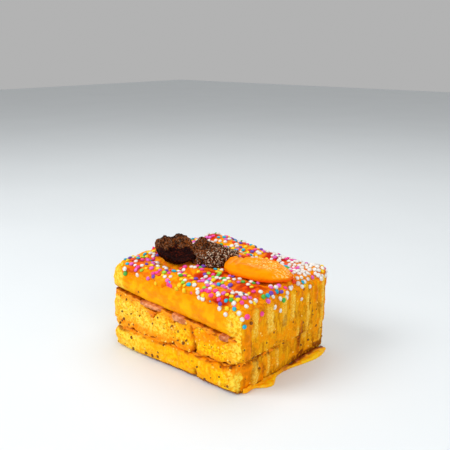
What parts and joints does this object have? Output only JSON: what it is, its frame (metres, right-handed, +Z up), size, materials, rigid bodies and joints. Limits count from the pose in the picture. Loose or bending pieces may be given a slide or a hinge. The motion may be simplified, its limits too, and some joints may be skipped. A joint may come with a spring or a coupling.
{
  "type": "anise dough nougat block",
  "caption": "Cut block of layered baked dough sticks held by fruit syrup, glazed and sprinkled on top, with dried fruit pressed into the glaze.",
  "frame": {"origin": "on the resting plane, under the middle of the block, at the mount base on the underside of the bottom layer", "axes": "+X towards the knife-cut face with the syrup runs, +Z up; the sticks of the top and bottom layers run along X, those of the middle layer along Y"},
  "size_m": [0.0975, 0.0765, 0.0607],
  "materials": {
    "baked_crumb": "open yellow crumb with anise seed, wet with syrup in places",
    "dough_crust": "smooth golden baked skin, soft gloss",
    "syrup": "set amber fruit syrup, glossy",
    "candied_fruit": "pink candied fruit, wet",
    "glaze": "orange syrup glaze, glossy, with coloured sugar sprinkles",
    "prune": "wrinkled dark brown dried prune, half glossy",
    "apricot": "orange dried apricot, smooth rim, sugar crystals"
  },
  "bodies": {
    "root": {"bottom_stick_1_left": "baked_crumb", "bottom_stick_1_right": "baked_crumb", "bottom_stick_2": "baked_crumb", "bottom_stick_3": "baked_crumb", "bottom_stick_4": "baked_crumb", "bottom_stick_5": "baked_crumb", "middle_stick_1": "baked_crumb", "middle_stick_2": "baked_crumb", "middle_stick_3": "baked_crumb", "middle_stick_4": "baked_crumb", "middle_stick_5": "baked_crumb", "middle_stick_6": "baked_crumb", "middle_stick_7": "baked_crumb", "top_stick_1": "dough_crust", "top_stick_2": "dough_crust", "top_stick_3": "dough_crust", "top_stick_4": "dough_crust", "top_stick_5": "dough_crust", "syrup_lower": "syrup", "syrup_upper": "syrup", "candied_fruit_long": "candied_fruit", "candied_fruit_short": "candied_fruit", "candied_fruit_small": "candied_fruit", "glaze_with_sprinkles": "glaze", "syrup_pool": "glaze", "prune_open": "prune", "prune_folded": "prune", "apricot_half": "apricot"}
  },
  "joints": []
}
